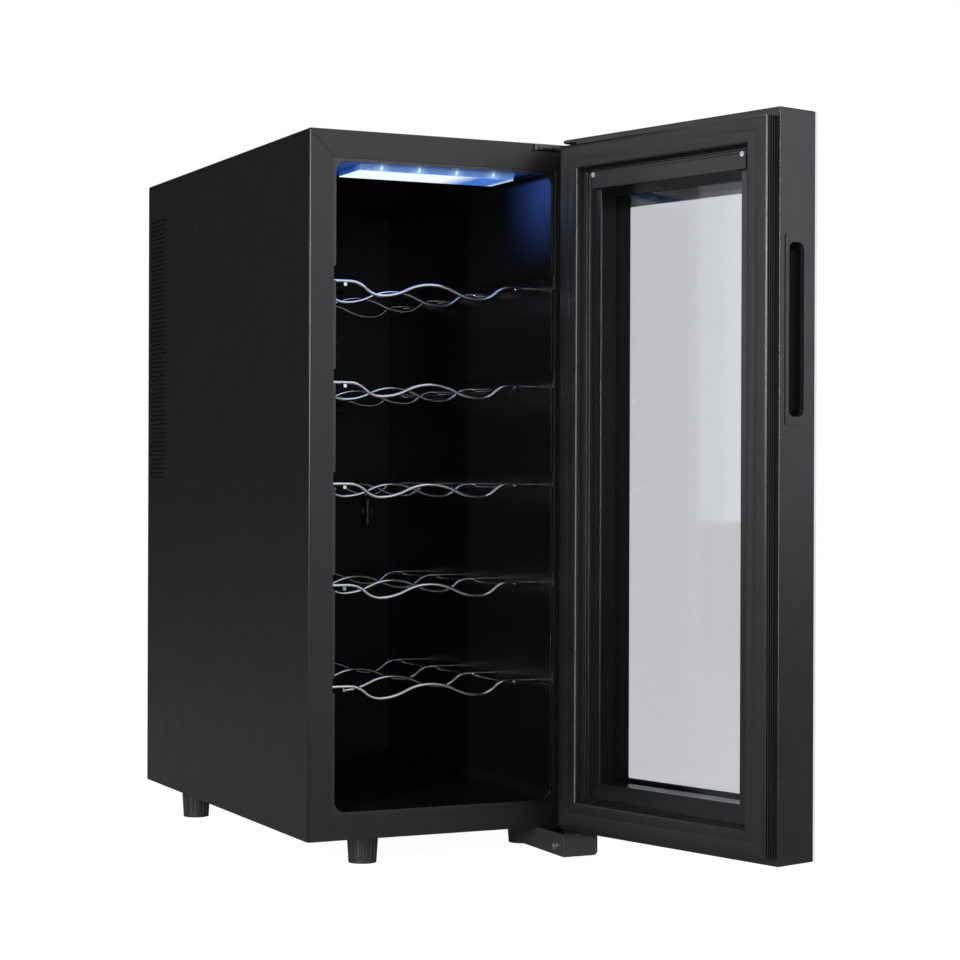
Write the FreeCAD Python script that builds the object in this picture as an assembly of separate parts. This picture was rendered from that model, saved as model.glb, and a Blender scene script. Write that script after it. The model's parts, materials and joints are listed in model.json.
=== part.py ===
import FreeCAD, Part

import math
import os

# A free-standing thermoelectric wine cooler for twelve bottles.
# Millimetres. +Z is up and the front faces -Y. The origin is on the floor, under the middle of the cabinet.
# The glass door hangs on the right (+X) side and stands open in this model.

V = FreeCAD.Vector

# ---------------------------------------------------------------- cabinet
WIDTH = 258.0
DEPTH = 462.0
HEIGHT = 612.0  # without the feet
FOOT_HEIGHT = 26.0
SHEET = 1.0  # painted steel sheet of the wrap, pan and rear cover
FOLD = 2.0  # outer radius of the wrap's folds
STILE = 22.0  # front flange of each side
TOP_RAIL = 24.0  # front flange of the top
BOTTOM_RAIL = 21.0  # front rail of the bottom pan
RETURN = 12.0  # folded edges of the pan and of the wrap's back
MITRE_GAP = 0.5
SEAM = 0.3  # gap between neighbouring sheet parts

HALF = WIDTH / 2
FRONT = -DEPTH / 2
BACK = DEPTH / 2
BASE = FOOT_HEIGHT
TOP = FOOT_HEIGHT + HEIGHT

# ---------------------------------------------------------------- liner
OPEN_HALF = 104.0  # half the width of the cavity
OPEN_BOTTOM = BASE + 24.0
OPEN_TOP = TOP - 27.0
LINER_BACK = 143.0  # Y of the cavity's back wall
LINER_WALL = 2.0
LINER_RADIUS = 10.0
GROOVE_DEPTH = 2.0  # shelf grooves, pressed outwards into the side walls
GROOVE_BELOW = 2.3
GROOVE_ABOVE = 10.4
LAMP_POCKET_X = (-79.5, 73.5)
LAMP_POCKET = (-221.5, -168.0, 5.0)  # front Y, back Y, height
SINK_POCKET = (50.0, 100.0, 12.0)  # half width, height, depth
BULKHEAD = 169.0  # Y of the plate that closes the foam; the warm compartment is behind it
CLEAR = 0.2  # assembly gap around the foam

# ---------------------------------------------------------------- vents in the sides of the warm compartment
VENT_LOW, VENT_HIGH = 337.0, 599.0
VENT_FRONT = 172.0
VENT_PITCH_Y, VENT_PITCH_Z = 9.7, 4.5
VENT_LENGTH, VENT_SLOT = 7.0, 2.0
VENT_COLUMNS = 5

# ---------------------------------------------------------------- shelves
SHELVES = 5
SHELF_PITCH = 88.8
TOP_SHELF = 510.4  # height of the top shelf's straight wire ends
WIRE = 1.6  # wire radius
WIRE_Y = (-198.0, -112.0, -26.0, 60.0)  # the wavy cross wires
WIRE_END = 105.4
WIRE_FLAT = 78.0  # the flat ends of a cross wire begin here
DIP_X, DIP = 48.0, 11.6  # a bottle lies in each dip
LONG_WIRE_X = 84.0
LONG_WIRE_ENDS = (-202.0, 96.0)
WELD = 0.4  # how far welded wires sink into each other

# ------------------------------------------------- thermal stack, on the Y axis through (0, STACK_Z)
STACK_Z = 470.0
COOL_COVER_FRONT = 118.0
COLD_FAN = (80.0, 10.0, 121.0)  # frame side, thickness, front Y
HOT_FAN = (120.0, 25.0, 199.5)
COLD_BASE = (149.8, 154.8)  # front and back Y of the cold heat sink's base
BLOCK_BACK = 163.8
MODULE_BACK = 167.6
HOT_BASE = (171.0, 177.0)
HOT_FINS_BACK = 199.5

# ---------------------------------------------------------------- lamp
LAMP_X = (-77.5, 71.5)
LAMP_FRONT, LAMP_BACK = -219.5, -170.0
LAMP_RAKE = 2.5  # how far the cover's front face leans back
LAMP_BOTTOM = OPEN_TOP - 5.8
LEDS = 4
LED_PITCH = 36.0

# ---------------------------------------------------------------- feet
FOOT_FRONT_LEFT = (-63.0, -194.0)
FOOT_FRONT_RIGHT = (116.0, -149.0)  # behind the lower hinge's cover
FOOT_REAR = (109.0, 130.0)
FOOT_TOP_R, FOOT_FLOOR_R = 14.0, 12.4
FLUTES, FLUTE_R = 18, 1.1
STUD_R, STUD_TOP = 3.9, 43.0
RUNNING = 0.05  # radial running clearance

# ---------------------------------------------------------------- door, drawn closed and then swung open
DOOR_GAP = 5.0  # between the cabinet's front and the door's inner face
DOOR_THICK = 45.0
DOOR_BOTTOM = BASE + 0.6
DOOR_TOP = TOP
DOOR_INNER = FRONT - DOOR_GAP
PIVOT = V(123.0, -256.5, 0)
REST_ANGLE = 105.2  # how far the door stands open
GLASS = 3.0
DOOR_WALL = 2.5
DOOR_EDGE = 1.0  # radius of the frame's outer edges on the inner face
BACK_BAND = 29.3  # width of the frame's flat inner band
GASKET = (7.3, 24.8)  # the gasket's outer and inner insets
GASKET_PROUD = 4.7
INNER_FRAME = (29.5, 45.6)
RETAINER_SUNK = 3.4  # the retainer's face lies this far behind the door's inner face
RETAINER_RIM = 1.6  # width of its raised rim
RETAINER_WALL = 1.9
PANE_DEPTH = 21.8  # from the door's inner face to the inner pane
SPACER = (33.9, 41.9)
PIN_R = 3.5
BUSH_R = 4.9
HANDLE = (26.0, 155.0, 19.0, 433.4 + FOOT_HEIGHT)  # width, height, middle of its depth, middle height
POCKET = (18.0, 141.0, 12.0)  # width, height, depth of the finger pocket

parts = {}


def box(x0, x1, y0, y1, z0, z1):
    return Part.makeBox(x1 - x0, y1 - y0, z1 - z0, V(x0, y0, z0))


def rod(radius, start, end):
    axis = end - start
    return Part.makeCylinder(radius, axis.Length, start, axis)


def tube(outer, inner, start, end):
    return rod(outer, start, end).cut(rod(inner, start, end))


def fuse(shapes):
    whole = shapes[0].multiFuse(shapes[1:]) if len(shapes) > 1 else shapes[0]
    return whole.removeSplitter()


def cut(shape, tools):
    return shape.cut(Part.makeCompound(tools))


def edges_along(shape, axis, test=lambda p: True):
    """Straight edges of a shape that run along axis and whose middle passes the test."""
    found = []
    for edge in shape.Edges:
        if len(edge.Vertexes) != 2:
            continue
        run = edge.Vertexes[1].Point - edge.Vertexes[0].Point
        middle = (edge.Vertexes[1].Point + edge.Vertexes[0].Point) * 0.5
        if run.Length > 0.5 and abs(run.normalize().dot(axis)) > 0.999 and test(middle):
            found.append(edge)
    return found


def prism_x(points, x0, x1):
    """A prism along X over an outline of (y, z) points."""
    outline = [V(x0, y, z) for y, z in points]
    return Part.Face(Part.makePolygon(outline + outline[:1])).extrude(V(x1 - x0, 0, 0))


def prism_y(points, y0, y1):
    """A prism along Y over an outline of (x, z) points."""
    outline = [V(x, y0, z) for x, z in points]
    return Part.Face(Part.makePolygon(outline + outline[:1])).extrude(V(0, y1 - y0, 0))


def shelf_heights():
    return [TOP_SHELF - i * SHELF_PITCH for i in range(SHELVES)]


# ================================================================ cabinet
def side_plate(side):
    """One side of the wrap, perforated beside the warm compartment."""
    x = side * HALF - (SHEET if side > 0 else 0)
    corners = [(FRONT, BASE), (BACK - SHEET, BASE), (BACK - SHEET, TOP), (FRONT, TOP), (FRONT, BASE)]
    wires = [Part.makePolygon([V(x, y, z) for y, z in corners])]
    rows = int((VENT_HIGH - VENT_LOW) / VENT_PITCH_Z) + 1
    for row in range(rows):
        z = VENT_LOW + row * VENT_PITCH_Z
        shift = (row % 2) * VENT_PITCH_Y / 2
        for column in range(VENT_COLUMNS):
            y = VENT_FRONT + shift + column * VENT_PITCH_Y
            far, high = y + VENT_LENGTH, z + VENT_SLOT
            slot = [(y, z), (far, z), (far, high), (y, high), (y, z)]
            wires.append(Part.makePolygon([V(x, a, b) for a, b in slot]))
    outer = Part.Face(wires[0])
    holes = [Part.Face(w).extrude(V(SHEET, 0, 0)) for w in wires[1:]]
    return outer.extrude(V(SHEET, 0, 0)), holes


def round_folds(shell):
    """Gives the folds between the faces of the wrap and its front flanges their bend radii."""
    up, across, along = V(0, 0, 1), V(1, 0, 0), V(0, 1, 0)

    def folds(inset):
        side, front, top = HALF - inset, FRONT + inset, TOP - inset
        near = 0.01
        beside = lambda p: abs(abs(p.x) - side) < near
        before = lambda p: abs(p.y - front) < near
        above = lambda p: abs(p.z - top) < near
        found = edges_along(shell, up, lambda p: beside(p) and before(p))
        found += edges_along(shell, along, lambda p: beside(p) and above(p))
        return found + edges_along(shell, across, lambda p: before(p) and above(p))

    shell = shell.makeFillet(FOLD, folds(0.0))
    return shell.makeFillet(FOLD - SHEET, folds(SHEET))


def outer_wrap():
    left, left_holes = side_plate(-1)
    right, right_holes = side_plate(1)
    top = box(-HALF, HALF, FRONT, BACK - SHEET, TOP - SHEET, TOP)
    flanges = []
    for side in (-1, 1):
        inner = side * (HALF - STILE)
        flanges.append(box(*sorted((side * HALF, inner)), FRONT, FRONT + SHEET, BASE, TOP))
        back_inner = side * (HALF - RETURN)
        reach = sorted((side * HALF, back_inner))
        flanges.append(box(*reach, BACK - 2 * SHEET, BACK - SHEET, BASE + RETURN, TOP))
    flanges.append(box(-HALF, HALF, FRONT, FRONT + SHEET, TOP - TOP_RAIL, TOP))
    flanges.append(box(-HALF, HALF, BACK - 2 * SHEET, BACK - SHEET, TOP - RETURN, TOP))
    shell = round_folds(fuse([left, right, top] + flanges))
    mitres = []
    for side in (-1, 1):
        outer = (side * (HALF - SHEET * 2), TOP - SHEET * 2)
        inner = (side * (HALF - STILE - 1), TOP - TOP_RAIL - 1)
        g = MITRE_GAP * side
        mitres.append(
            prism_y(
                [
                    (outer[0], outer[1]),
                    (outer[0] - g, outer[1]),
                    (inner[0] - g, inner[1]),
                    (inner[0], inner[1]),
                ],
                FRONT - SHEET,
                FRONT + SHEET * 1.01,
            )
        )
    screws = [rod(1.9, V(x, BACK - 4, z), V(x, BACK, z)) for x, z in REAR_SCREWS]
    return cut(shell, left_holes + right_holes + mitres + screws)


def bottom_pan():
    inside = HALF - SHEET - CLEAR
    rail = HALF - STILE - SEAM
    floor = box(-inside, inside, FRONT + SHEET, BACK - 3 * SHEET, BASE, BASE + SHEET)
    pieces = [
        floor,
        box(-rail, rail, FRONT, FRONT + SHEET, BASE, BASE + BOTTOM_RAIL),
        box(-rail, rail, FRONT + SHEET * 0.9, FRONT + SHEET, BASE, BASE + SHEET),
        box(-inside, inside, BACK - 4 * SHEET, BACK - 3 * SHEET, BASE, BASE + RETURN),
    ]
    for side in (-1, 1):
        pieces.append(
            box(
                *sorted((side * inside, side * (inside - SHEET))),
                FRONT + 4 * SHEET,
                BACK - 3 * SHEET,
                BASE,
                BASE + RETURN,
            )
        )
    holes = [rod(STUD_R + 0.6, V(x, y, 0), V(x, y, BASE + 5)) for x, y in foot_places().values()]
    holes += [rod(2.6, V(x, y, 0), V(x, y, BASE + 5)) for x, y in HINGE_BOLTS]
    return cut(fuse(pieces), holes)


def cavity(grow=0.0, front=FRONT - 5):
    """The liner's hollow, grown outwards by some distance."""
    half = OPEN_HALF + grow
    main = box(-half, half, front, LINER_BACK + grow, OPEN_BOTTOM - grow, OPEN_TOP + grow)
    main = main.makeFillet(LINER_RADIUS + grow, edges_along(main, V(0, 1, 0)))
    extras = []
    for z in shelf_heights():
        wide = OPEN_HALF + GROOVE_DEPTH + grow
        extras.append(
            box(
                -wide,
                wide,
                front,
                LINER_BACK - LINER_RADIUS + grow,
                z - GROOVE_BELOW - grow,
                z + GROOVE_ABOVE + grow,
            )
        )
    lamp_left, lamp_right = LAMP_POCKET_X
    lamp_front, lamp_back, lamp_height = LAMP_POCKET
    extras.append(
        box(
            lamp_left - grow,
            lamp_right + grow,
            lamp_front - grow,
            lamp_back + grow,
            OPEN_TOP - 5,
            OPEN_TOP + lamp_height + grow,
        )
    )
    half_sink, sink_height, sink_depth = SINK_POCKET
    low, high = STACK_Z - sink_height / 2, STACK_Z + sink_height / 2
    extras.append(
        box(
            -half_sink - grow,
            half_sink + grow,
            LINER_BACK - 5,
            LINER_BACK + sink_depth + grow,
            low - grow,
            high + grow,
        )
    )
    return fuse([main] + extras)


def block_window(half, y0, y1):
    return box(-half, half, y0, y1, STACK_Z - half, STACK_Z + half)


def inner_liner():
    flange_front = FRONT + SHEET
    skin = cavity(LINER_WALL, flange_front)
    flange = box(
        -HALF + 2.5, HALF - 2.5, flange_front, flange_front + LINER_WALL, BASE + 2.5, TOP - 2.5
    )
    shell = fuse([skin, flange]).cut(cavity(0.0))
    return shell.cut(block_window(22.0, LINER_BACK, LINER_BACK + 20))


def insulation_foam():
    inside = HALF - 2.5
    block = box(
        -inside,
        inside,
        FRONT + SHEET + LINER_WALL + CLEAR,
        BULKHEAD - CLEAR,
        BASE + SHEET + CLEAR,
        TOP - SHEET - CLEAR,
    )
    tools = [cavity(LINER_WALL + CLEAR), block_window(23.0, LINER_BACK, BULKHEAD)]
    for x, y in foot_places().values():
        tools.append(rod(9.5, V(x, y, BASE), V(x, y, STUD_TOP + 1.5)))
    for x, y in HINGE_BOLTS:
        tools.append(rod(6.5, V(x, y, BASE), V(x, y, BASE + 12)))
    return cut(block, tools)


def bulkhead_plate():
    inside = HALF - 2.5
    plate = box(-inside, inside, BULKHEAD, BULKHEAD + SHEET, BASE + SHEET + CLEAR, TOP - SHEET - CLEAR)
    return plate.cut(block_window(26.0, BULKHEAD - 1, BULKHEAD + 3))


REAR_SCREWS = [(s * (HALF - RETURN / 2), z) for s in (-1, 1) for z in (BASE + 60, BASE + 306, TOP - 60)]
GLAND = (78.0, 62.0)  # x and z of the mains cord's gland
GLAND_BORE = 3.6


def rear_cover():
    plate = box(-HALF + 0.5, HALF - 0.5, BACK - SHEET, BACK, BASE + 0.5, TOP - 0.5)
    tools = []
    for z0, z1, half in ((410, 530, 52), (120, 220, 60)):
        rows = int((z1 - z0) / 8)
        for row in range(rows + 1):
            z = z0 + row * 8
            tools.append(box(-half, -4, BACK - 3, BACK + 3, z - 1.5, z + 1.5))
            tools.append(box(4, half, BACK - 3, BACK + 3, z - 1.5, z + 1.5))
    tools += [rod(1.9, V(x, BACK - 3, z), V(x, BACK + 3, z)) for x, z in REAR_SCREWS]
    tools.append(rod(6.1, V(GLAND[0], BACK - 3, GLAND[1]), V(GLAND[0], BACK + 3, GLAND[1])))
    return cut(plate, tools)


def pan_head_screw(radius, head_radius, head, length, place, inwards):
    """A pan-head screw whose head rests on place and whose shank runs along inwards."""
    shank = rod(radius, place - inwards * 0.5, place + inwards * length)
    cap = rod(head_radius, place - inwards * head, place)
    cross = [rod(head_radius * 0.13, place - inwards * (head + 1), place - inwards * head * 0.45)]
    side = V(0, 0, 1) if abs(inwards.z) < 0.5 else V(1, 0, 0)
    other = inwards.cross(side)
    for a in (side, other):
        b = inwards.cross(a)
        long, wide = head_radius * 1.2, head_radius * 0.26
        slot = Part.makeBox(long, wide, head, V(-long / 2, -wide / 2, 0))
        rows = [(a.x, b.x, -inwards.x, 0), (a.y, b.y, -inwards.y, 0), (a.z, b.z, -inwards.z, 0), (0, 0, 0, 1)]
        matrix = FreeCAD.Matrix(*[value for row in rows for value in row])
        slot = slot.transformGeometry(matrix)
        slot.translate(place - inwards * head * 0.5)
        cross.append(slot)
    return fuse([shank, cap]).cut(fuse(cross))


def cord_gland():
    x, z = GLAND
    axis = [V(x, y, z) for y in (BACK - 6, BACK, BACK + 3)]
    body = fuse([rod(6.0, axis[0], axis[2]), rod(9.0, axis[1], axis[2])])
    return body.cut(rod(GLAND_BORE, V(x, BACK - 10, z), V(x, BACK + 10, z)))


# ================================================================ cooling
def finned(x_half, z_low, z_high, base, fins_to, fin, gap):
    """A heat sink: a base plate between two Y values with fins that reach fins_to."""
    pieces = [box(-x_half, x_half, *base, z_low, z_high)]
    count = int((2 * x_half - fin) / gap)
    start = -(count * gap) / 2
    near = base[0] if fins_to < base[0] else base[1]
    for i in range(count + 1):
        x = start + i * gap
        pieces.append(box(x - fin / 2, x + fin / 2, *sorted((near, fins_to)), z_low, z_high))
    return fuse(pieces)


def cold_heat_sink():
    return finned(45.0, STACK_Z - 45, STACK_Z + 45, COLD_BASE, COLD_FAN[2] + COLD_FAN[1], 1.6, 7.0)


def hot_heat_sink():
    sink = finned(60.0, STACK_Z - 70, STACK_Z + 70, HOT_BASE, HOT_FINS_BACK, 1.6, 6.0)
    pedestal = block_window(22.0, MODULE_BACK, HOT_BASE[0])
    return fuse([sink, pedestal])


def fan_frame(fan):
    """Axial fan housing: a square frame with a round duct, four struts and a bearing seat."""
    side, thick, y = fan
    duct = side / 2 - 2.5
    seat = side * 0.17
    body = box(-side / 2, side / 2, y, y + thick, STACK_Z - side / 2, STACK_Z + side / 2)
    body = body.makeFillet(side * 0.05, edges_along(body, V(0, 1, 0)))
    centre = [V(0, y - 1, STACK_Z), V(0, y + thick + 1, STACK_Z)]
    body = body.cut(rod(duct, *centre))
    strut_y = (y + thick - 1.8, y + thick)
    pieces = [body, rod(seat, V(0, strut_y[0], STACK_Z), V(0, strut_y[1], STACK_Z))]
    for i in range(4):
        strut = box(seat - 1, duct + 1, *strut_y, STACK_Z - 1.5, STACK_Z + 1.5)
        strut.rotate(V(0, 0, STACK_Z), V(0, 1, 0), 45 + 90 * i)
        pieces.append(strut)
    bearing = rod(4.0, V(0, strut_y[0] - 2.5, STACK_Z), V(0, strut_y[1], STACK_Z))
    body = fuse(pieces + [bearing])
    screw = side / 2 - side * 0.065
    corners = [V(i * screw, 0, k * screw) for i in (-1, 1) for k in (-1, 1)]
    holes = [rod(2.05, centre[0] + corner, centre[1] + corner) for corner in corners]
    holes.append(rod(1.5 + RUNNING, *centre))
    return cut(body, holes)


def fan_rotor(fan):
    """The hub with its blades and its spindle, which turns in the frame's bearing."""
    side, thick, y = fan
    tip = side / 2 - 4.0
    hub_r = side * 0.17
    hub = (y + 0.8, y + thick - 2.6)
    cup = rod(hub_r, V(0, hub[0], STACK_Z), V(0, hub[1], STACK_Z))
    cup = cup.cut(rod(hub_r - 1.5, V(0, hub[0] + 1.5, STACK_Z), V(0, hub[1] + 1, STACK_Z)))
    pieces = [cup, rod(1.5, V(0, hub[0], STACK_Z), V(0, y + thick, STACK_Z))]
    reach = (hub[1] - hub[0]) - 1.0
    middle = (hub[0] + hub[1]) / 2
    pitch_angle = 40.0
    width = reach / math.cos(math.radians(pitch_angle)) - 1.2
    for i in range(7):
        blade = Part.makeBox(tip - hub_r + 1.5, width, 1.2, V(hub_r - 1.0, -width / 2, -0.6))
        blade.rotate(V(0, 0, 0), V(1, 0, 0), pitch_angle)
        blade.translate(V(0, middle, STACK_Z))
        blade.rotate(V(0, 0, STACK_Z), V(0, 1, 0), i * 360 / 7)
        pieces.append(blade)
    whole = fuse(pieces)
    return whole.common(rod(tip, V(0, hub[0] - 1, STACK_Z), V(0, y + thick, STACK_Z)))


def cold_fan_cover():
    x, low, high = 58.0, STACK_Z - 66, STACK_Z + 66
    outer = box(-x, x, COOL_COVER_FRONT, LINER_BACK, low, high)
    outer = outer.makeFillet(6, edges_along(outer, V(0, 1, 0)))
    shell = outer.cut(box(-x + 2, x - 2, COOL_COVER_FRONT + 2, LINER_BACK + 1, low + 2, high - 2))
    tools = []
    for row in range(-5, 6):
        z = STACK_Z + row * 6.5
        half = math.sqrt(38.0**2 - (row * 6.5) ** 2)
        tools.append(box(-half, half, COOL_COVER_FRONT - 1, COOL_COVER_FRONT + 3, z - 1.6, z + 1.6))
    for z in (low + 9, low + 15, high - 15, high - 9):
        tools.append(box(-42, 42, COOL_COVER_FRONT - 1, COOL_COVER_FRONT + 3, z - 1.6, z + 1.6))
    return cut(shell, tools)


def temperature_sensor():
    y = LINER_BACK
    clip = box(72, 84, y - 4, y, 300, 306)
    return fuse([clip, rod(3.0, V(78, y - 5.5, 290), V(78, y - 5.5, 316))])


def power_board():
    y = 178.0
    pieces = [box(-62, 62, y, y + 1.6, 110, 220)]
    pieces += [rod(3.0, V(x, BULKHEAD + SHEET, z), V(x, y + 0.1, z)) for x in (-56, 56) for z in (116, 214)]
    pieces.append(box(-50, -8, y + 1.5, y + 30, 130, 172))
    pieces.append(box(8, 16, y + 1.5, y + 26, 125, 200))
    pieces += [rod(8.0, V(34, y + 1.5, z), V(34, y + 32, z)) for z in (140, 160)]
    pieces.append(box(-50, -30, y + 1.5, y + 12, 186, 206))
    return fuse(pieces)


# ================================================================ lamp
def lamp_lens():
    """A shallow tray under the ceiling whose front edge slopes."""
    low, high = LAMP_BOTTOM, OPEN_TOP + LAMP_POCKET[2]
    outside = [
        (LAMP_FRONT, high),
        (LAMP_FRONT, OPEN_TOP),
        (LAMP_FRONT + LAMP_RAKE, low),
        (LAMP_BACK, low),
        (LAMP_BACK, high),
    ]
    wall = 1.2
    inside = [
        (LAMP_FRONT + wall, high + 1),
        (LAMP_FRONT + wall, OPEN_TOP + 0.6),
        (LAMP_FRONT + LAMP_RAKE + 0.6, low + wall),
        (LAMP_BACK - wall, low + wall),
        (LAMP_BACK - wall, high + 1),
    ]
    left, right = LAMP_X
    tray = prism_x(outside, left, right)
    return tray.cut(prism_x(inside, left + wall, right - wall))


def led_board():
    z = OPEN_TOP + LAMP_POCKET[2] - 1.5
    left, right = LAMP_X
    pieces = [box(left + 4, right - 4, LAMP_FRONT + 4, LAMP_BACK - 4, z, z + 1.5)]
    for i in range(LEDS):
        x = (left + right) / 2 + (i - (LEDS - 1) / 2) * LED_PITCH
        pieces.append(box(x - 2.5, x + 2.5, LAMP_FRONT + 5, LAMP_FRONT + 10, z - 1.4, z + 0.1))
    return fuse(pieces)


# ================================================================ shelves
def arc_between(start, middle, end):
    return Part.Arc(start, middle, end).toShape()


def tangent_pair(x0, z0, x1, z1, y):
    """Two equal arcs that join a level point to another level point, with no kink between them."""
    run, rise = x1 - x0, z1 - z0
    radius = (run**2 + rise**2) / (4 * abs(rise))
    half_angle = math.asin(abs(run) / 2 / radius) / 2
    step_x = radius * math.sin(half_angle) * math.copysign(1, run)
    step_z = radius * (1 - math.cos(half_angle)) * math.copysign(1, rise)
    middle = V((x0 + x1) / 2, y, (z0 + z1) / 2)
    first = arc_between(V(x0, y, z0), V(x0 + step_x, y, z0 + step_z), middle)
    second = arc_between(middle, V(x1 - step_x, y, z1 - step_z), V(x1, y, z1))
    return [first, second]


def cross_wire(y, z):
    """A wavy wire with flat ends: it dips under each of two bottles and rises between them."""
    edges = [Part.makeLine(V(-WIRE_END, y, z), V(-WIRE_FLAT, y, z))]
    edges += tangent_pair(-WIRE_FLAT, z, -DIP_X, z - DIP, y)
    edges += tangent_pair(-DIP_X, z - DIP, 0, z - 0.5, y)
    edges += tangent_pair(0, z - 0.5, DIP_X, z - DIP, y)
    edges += tangent_pair(DIP_X, z - DIP, WIRE_FLAT, z, y)
    edges.append(Part.makeLine(V(WIRE_FLAT, y, z), V(WIRE_END, y, z)))
    path = Part.Wire(edges)
    section = Part.Wire([Part.makeCircle(WIRE, V(-WIRE_END, y, z), V(1, 0, 0))])
    return path.makePipeShell([section], True, False)


def wire_shelf(z):
    wires = [cross_wire(y, z) for y in WIRE_Y]
    low = z - 2 * WIRE + WELD
    for side in (-1, 1):
        x = side * LONG_WIRE_X
        wires.append(rod(WIRE, V(x, LONG_WIRE_ENDS[0], low), V(x, LONG_WIRE_ENDS[1], low)))
    return fuse(wires)


# ================================================================ feet
def foot_places():
    x, y = FOOT_REAR
    return {
        "front_left": FOOT_FRONT_LEFT,
        "front_right": FOOT_FRONT_RIGHT,
        "rear_left": (-x, y),
        "rear_right": (x, y),
    }


def foot(x, y):
    """A tapered, fluted glide that screws up under the pan."""
    top = BASE - 0.4
    body = Part.makeCone(FOOT_FLOOR_R, FOOT_TOP_R, top, V(0, 0, 0), V(0, 0, 1))
    flutes = []
    lean = math.degrees(math.atan2(FOOT_TOP_R - FOOT_FLOOR_R, top))
    for i in range(FLUTES):
        groove = rod(FLUTE_R, V(FOOT_FLOOR_R + 0.3, 0, 3.0), V(FOOT_FLOOR_R + 0.3, 0, top - 3.0))
        groove.rotate(V(FOOT_FLOOR_R + 0.3, 0, 0), V(0, 1, 0), lean)
        groove.rotate(V(0, 0, 0), V(0, 0, 1), i * 360 / FLUTES)
        flutes.append(groove)
    body = cut(body, flutes + [rod(STUD_R + 0.02, V(0, 0, 8), V(0, 0, top + 1))])
    body.translate(V(x, y, 0))
    return body


def foot_stud(x, y):
    return rod(STUD_R, V(x, y, 8), V(x, y, STUD_TOP))


def hex_nut(x, y, flats, z0, z1, bore):
    corner = flats / 2 / math.cos(math.pi / 6)
    angles = [i * math.pi / 3 for i in range(7)]
    points = [V(x + corner * math.cos(a), y + corner * math.sin(a), z0) for a in angles]
    body = Part.Face(Part.makePolygon(points)).extrude(V(0, 0, z1 - z0))
    return body.cut(rod(bore, V(x, y, z0 - 1), V(x, y, z1 + 1)))


def foot_nuts():
    low = BASE + SHEET
    places = foot_places().values()
    return Part.makeCompound([hex_nut(x, y, 13.0, low, low + 6.5, STUD_R + RUNNING) for x, y in places])


# ================================================================ hinges on the cabinet
HINGE_BOLTS = [(110.0, -205.0), (110.0, -180.0)]
BRACKET_LEFT = 26.0  # from the pivot to the left edge of the lower hinge's plate
COVER_X = (92.8, 126.8)
COVER_Y = (-278.0, -166.5)
COVER_Z = (5.8, 7.1, BASE - 0.4)  # underside at the front and at the back, and the rim
COVER_WALL = 2.0
COVER_SCREW = V(COVER_X[0], -262.7, 14.0)
ARM_LEFT, ARM_TIP = 7.0, 7.0  # from the pivot to the arm's left edge and to its tip
ARM_RIGHT = 5.4
ARM = (605.6 + BASE, 608.0 + BASE)  # the top hinge arm's underside and top
SLOT = (605.0 + BASE, 609.0 + BASE)  # the slot for it in the door
BRACKET = 2.2


def arm(z0, z1, back):
    """A flat arm from the line y = back to a rounded tip in front of the pivot."""
    x, y = PIVOT.x, PIVOT.y
    strip = box(x - ARM_LEFT, x + ARM_RIGHT, y, back, z0, z1)
    tip = rod(ARM_TIP, V(x, y, z0), V(x, y, z1)).common(
        box(x - ARM_LEFT, x + ARM_RIGHT, y - ARM_TIP, y + 0.1, z0, z1)
    )
    return fuse([strip, tip])


def top_hinge_bracket():
    leg = box(PIVOT.x - 38, PIVOT.x + ARM_RIGHT, FRONT - BRACKET, FRONT, ARM[0], ARM[0] + 5.6)
    plate = fuse([leg, arm(*ARM, FRONT)])
    hole = rod(PIN_R + 0.02, V(PIVOT.x, PIVOT.y, ARM[0] - 1), V(PIVOT.x, PIVOT.y, ARM[1] + 1))
    screws = [rod(1.2, V(x, FRONT - 5, ARM[0] + 2.9), V(x, FRONT + 5, ARM[0] + 2.9)) for x in TOP_SCREWS]
    return cut(plate, [hole] + screws)


TOP_SCREWS = (PIVOT.x - 32.0, PIVOT.x - 18.0)


def bottom_hinge_bracket():
    z0, z1 = BASE - 2.5, BASE
    plate = arm(z0, z1, COVER_Y[1])
    wide = box(PIVOT.x - BRACKET_LEFT, PIVOT.x + ARM_RIGHT, FRONT + 4, COVER_Y[1], z0, z1)
    holes = [rod(PIN_R + 0.02, V(PIVOT.x, PIVOT.y, z0 - 1), V(PIVOT.x, PIVOT.y, z1 + 1))]
    holes += [rod(2.6, V(x, y, z0 - 1), V(x, y, z1 + 1)) for x, y in HINGE_BOLTS]
    return cut(fuse([plate, wide]), holes)


def bottom_hinge_cover():
    """A moulded box under the lower hinge, open on top, with a seat cut into its rim for the bracket."""
    (x0, x1), (y0, y1), (z_front, z_back, rim) = COVER_X, COVER_Y, COVER_Z
    outline = [
        (y0, z_front),
        (y1 - 4, z_back),
        (y1 - 0.5, z_back + 3),
        (y1, z_back + 5.5),
        (y1, rim),
        (y0 + 4, rim),
        (y0 + 1.5, rim - 1.6),
        (y0, rim - 4),
    ]
    shell = prism_x(outline, x0, x1)
    corner = [e for e in shell.Edges if e.BoundBox.XMin > x1 - 0.1 and e.BoundBox.ZMax < z_back + 0.1]
    shell = shell.makeChamfer(2.5, corner)
    wall = COVER_WALL
    inside = [
        (y0 + wall, z_front + wall),
        (y1 - 4 - wall / 2, z_back + wall),
        (y1 - wall, z_back + 5.5),
        (y1 - wall, rim + 1),
        (y0 + 4 + wall, rim + 1),
        (y0 + wall, rim - 4),
    ]
    shell = shell.cut(prism_x(inside, x0 + wall, x1 - wall - 1))
    seat = box(x0 + wall + 1.5, x1 + 1, PIVOT.y - ARM_TIP - 1.5, y1 + 1, BASE - 2.6, BASE)
    return cut(shell, [seat, rod(1.5, COVER_SCREW, COVER_SCREW + V(5, 0, 0))])


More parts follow.
